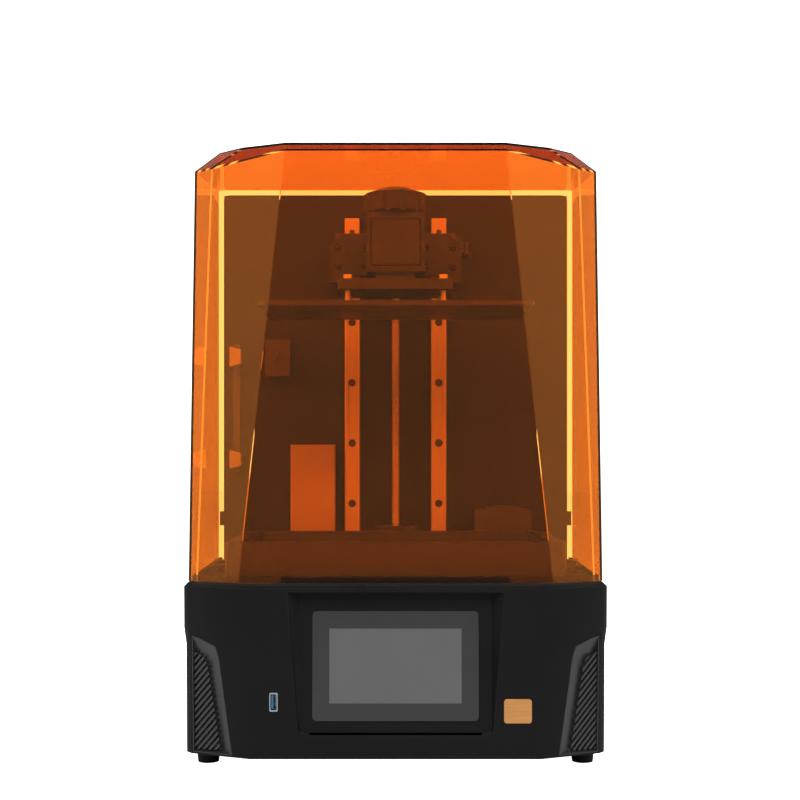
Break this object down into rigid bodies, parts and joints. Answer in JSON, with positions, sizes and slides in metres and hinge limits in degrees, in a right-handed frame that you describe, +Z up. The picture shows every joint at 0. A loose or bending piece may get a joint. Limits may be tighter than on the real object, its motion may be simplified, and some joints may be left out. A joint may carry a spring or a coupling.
{
  "type": "resin printer",
  "caption": "Desktop resin printer: base with a touch display, resin vat, cantilevered build platform on two rails, and an orange hood.",
  "frame": {"origin": "centre of the bounding box's bottom face, on the floor under the rubber feet", "axes": "+X towards the printer's left-hand side's opposite, so to the viewer's right when facing the front; +Y from the front with the display towards the rear column; +Z up"},
  "size_m": [0.36, 0.3542, 0.5335],
  "materials": {
    "shell_plastic": "near-black moulded shell with a fine satin grain",
    "tray_plastic": "satin charcoal plastic",
    "grille_plastic": "satin near-black plastic",
    "sheet_steel": "black powder coat",
    "rubber": "matt black rubber",
    "bezel_glass": "dark bezel of the touch display's cover",
    "screen": "screen, off",
    "usb_metal": "plated sheet metal",
    "blue_plastic": "blue connector plastic",
    "bronze": "plain bronze-coloured plate",
    "socket_plastic": "black socket plastic",
    "rocker_plastic": "black rocker",
    "fan_plastic": "black glass-filled plastic",
    "circuit_board": "green solder mask",
    "bare_steel": "plain sheet steel",
    "led_board": "white board with light-emitting chips",
    "bare_aluminium": "plain machined aluminium",
    "lens_glass": "clear lens sheet",
    "lcd": "dark panel",
    "lcd_cover": "dark cover glass",
    "vat_metal": "dark anodised aluminium",
    "film": "clear release film",
    "screw_steel": "zinc-plated steel",
    "black_metal": "black oxide",
    "panel_black": "black satin sheet",
    "rail_steel": "ground bearing steel",
    "rotor_steel": "laminated steel",
    "motor_case": "black motor case",
    "bearing_steel": "polished bearing ring",
    "sensor_plastic": "black sensor plastic",
    "block_steel": "dark carriage steel",
    "carriage_metal": "dark anodised aluminium",
    "arm_metal": "dark anodised aluminium",
    "brass": "turned brass",
    "plate_metal": "lapped anodised aluminium",
    "knob_plastic": "black moulded knob",
    "light_plastic": "light plastic case",
    "module_plastic": "black plastic case",
    "bracket_steel": "light painted tabs of the side bracket",
    "bar_metal": "dark painted bar of the side bracket",
    "camera_plastic": "black plastic with a small lens",
    "amber_acrylic": "clear orange acrylic that blocks ultraviolet light"
  },
  "bodies": {
    "base": {"base_shell": "shell_plastic", "bottom_plate": "sheet_steel", "rubber_feet": "rubber", "deck_plate": "sheet_steel", "hood_guide": "rubber", "display_tray": "tray_plastic", "display_glass": "bezel_glass", "display_panel": "screen", "usb_shell": "usb_metal", "usb_tongue": "blue_plastic", "badge": "bronze", "grille_left": "grille_plastic", "grille_right": "grille_plastic", "power_inlet": "socket_plastic", "switch_frame": "socket_plastic", "exhaust_fan_frame": "fan_plastic", "mainboard": "circuit_board", "power_supply": "bare_steel", "led_board": "led_board", "led_heatsink": "bare_aluminium", "led_lens_plate": "lens_glass", "light_funnel": "bare_aluminium", "led_fan_frame": "fan_plastic", "lcd_panel": "lcd", "lcd_glass": "lcd_cover", "vat_frame": "vat_metal", "vat_film": "film", "vat_clamp_ring": "vat_metal", "back_panel": "panel_black", "column_cover": "sheet_steel", "z_tower": "bare_aluminium", "rail_left": "rail_steel", "rail_right": "rail_steel", "machine_screws": "black_metal", "z_motor": "motor_case", "lower_bearing_block": "black_metal", "top_bearing_block": "black_metal", "screw_bearings": "bearing_steel", "limit_switch": "sensor_plastic", "air_filter_case": "light_plastic", "side_heater": "module_plastic", "bracket_tabs": "bracket_steel", "bracket_bar": "bar_metal", "camera_module": "camera_plastic"},
    "hood": {"hood": "amber_acrylic"},
    "lift": {"bearing_blocks": "block_steel", "carriage_plate": "carriage_metal", "lift_arm": "arm_metal", "screw_nut": "brass", "platform_bracket": "arm_metal", "leveling_screws": "screw_steel", "build_plate": "plate_metal"},
    "knob": {"clamp_knob": "knob_plastic"},
    "screw": {"lead_screw": "rail_steel", "motor_rotor": "rotor_steel"},
    "rocker": {"switch_rocker": "rocker_plastic"},
    "thumb_left": {"thumbscrew_left": "black_metal"},
    "thumb_right": {"thumbscrew_right": "black_metal"},
    "exhaust_rotor": {"exhaust_fan_rotor": "fan_plastic"},
    "led_rotor": {"led_fan_rotor": "fan_plastic"}
  },
  "joints": [
    {"name": "hood_lift", "type": "slide", "parent": "base", "child": "hood", "axis": [0, 0, 1], "range_m": [0, 0.4]},
    {"name": "z_lift", "type": "slide", "parent": "base", "child": "lift", "axis": [0, 0, 1], "range_m": [-0.2335, 0]},
    {"name": "screw_spin", "type": "hinge", "parent": "base", "child": "screw", "pos_m": [0, 0.0571, 0.3], "axis": [0, 0, 1], "range_deg": [-10, 21100]},
    {"name": "knob_turn", "type": "hinge", "parent": "lift", "child": "knob", "pos_m": [0, -0.0409, 0.5], "axis": [0, 0, 1], "range_deg": [0, 720]},
    {"name": "thumb_left_turn", "type": "hinge", "parent": "base", "child": "thumb_left", "pos_m": [-0.16, -0.0539, 0.17], "axis": [0, 0, 1], "range_deg": [0, 1080]},
    {"name": "thumb_right_turn", "type": "hinge", "parent": "base", "child": "thumb_right", "pos_m": [0.16, -0.0539, 0.17], "axis": [0, 0, 1], "range_deg": [0, 1080]},
    {"name": "rocker_tip", "type": "hinge", "parent": "base", "child": "rocker", "pos_m": [0.115, 0.1734, 0.118], "axis": [0, 0, 1], "range_deg": [0, 16]},
    {"name": "exhaust_spin", "type": "hinge", "parent": "base", "child": "exhaust_rotor", "pos_m": [-0.11, 0.16, 0.086], "axis": [0, 1, 0], "continuous": true},
    {"name": "led_fan_spin", "type": "hinge", "parent": "base", "child": "led_rotor", "pos_m": [0, -0.0539, 0.0465], "axis": [0, 0, 1], "continuous": true}
  ],
  "couplings": [
    {"joint": "screw_spin", "follows": "z_lift", "rad_per_m": -1570.8}
  ]
}
